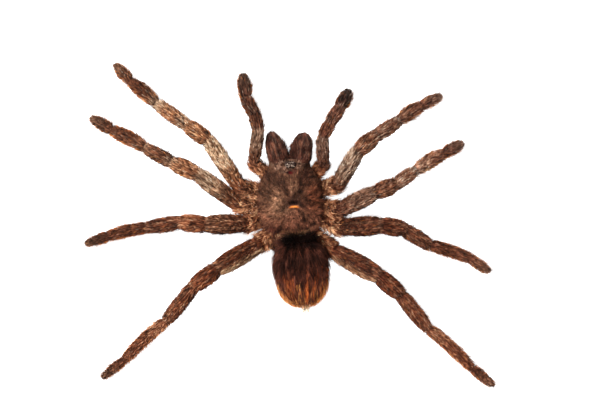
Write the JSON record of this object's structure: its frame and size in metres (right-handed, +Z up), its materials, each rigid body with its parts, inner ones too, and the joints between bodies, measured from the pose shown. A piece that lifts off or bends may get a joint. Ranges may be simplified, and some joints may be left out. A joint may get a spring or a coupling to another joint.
{
  "type": "pamphobeteus tarantula",
  "caption": "Life-size hairy brown tarantula standing with its legs spread, as a still model that rests on its feet.",
  "frame": {"origin": "centre of the bounding box in plan, on the floor that the feet rest on", "axes": "+Z up, -Y towards the head, +X towards the spider's own left side"},
  "size_m": [0.1602, 0.1266, 0.0251],
  "materials": {
    "carapace": "short radial velvet over a hard shell, grey-brown",
    "leg": "dense short brown setae with paler stripes",
    "coxa": "orange-brown setae on the leg bases",
    "foot": "dense dark scopula and setae, grey-brown",
    "abdomen": "long dark setae lying back, rusty at the rear",
    "chelicera": "short dark setae in lengthwise streaks",
    "fang": "glossy black",
    "eye": "glossy black",
    "sternum": "dark velvet",
    "spinneret": "pale tan short setae"
  },
  "bodies": {
    "root": {"leg_1_left_coxa": "coxa", "leg_1_left_femur": "leg", "leg_1_left_patella": "leg", "leg_1_left_tibia": "leg", "leg_1_left_foot": "foot", "leg_2_left_coxa": "coxa", "leg_2_left_femur": "leg", "leg_2_left_patella": "leg", "leg_2_left_tibia": "leg", "leg_2_left_foot": "foot", "leg_3_left_coxa": "coxa", "leg_3_left_femur": "leg", "leg_3_left_patella": "leg", "leg_3_left_tibia": "leg", "leg_3_left_foot": "foot", "leg_4_left_coxa": "coxa", "leg_4_left_femur": "leg", "leg_4_left_patella": "leg", "leg_4_left_tibia": "leg", "leg_4_left_foot": "foot", "palp_left_coxa": "coxa", "palp_left_femur": "leg", "palp_left_patella": "leg", "palp_left_tibia": "leg", "palp_left_foot": "foot", "chelicera_left": "chelicera", "fang_left": "fang", "leg_1_right_coxa": "coxa", "leg_1_right_femur": "leg", "leg_1_right_patella": "leg", "leg_1_right_tibia": "leg", "leg_1_right_foot": "foot", "leg_2_right_coxa": "coxa", "leg_2_right_femur": "leg", "leg_2_right_patella": "leg", "leg_2_right_tibia": "leg", "leg_2_right_foot": "foot", "leg_3_right_coxa": "coxa", "leg_3_right_femur": "leg", "leg_3_right_patella": "leg", "leg_3_right_tibia": "leg", "leg_3_right_foot": "foot", "leg_4_right_coxa": "coxa", "leg_4_right_femur": "leg", "leg_4_right_patella": "leg", "leg_4_right_tibia": "leg", "leg_4_right_foot": "foot", "palp_right_coxa": "coxa", "palp_right_femur": "leg", "palp_right_patella": "leg", "palp_right_tibia": "leg", "palp_right_foot": "foot", "chelicera_right": "chelicera", "fang_right": "fang", "carapace": "carapace", "sternum": "sternum", "eyes": "eye", "abdomen": "abdomen", "pedicel": "coxa", "spinnerets": "spinneret"}
  },
  "joints": []
}
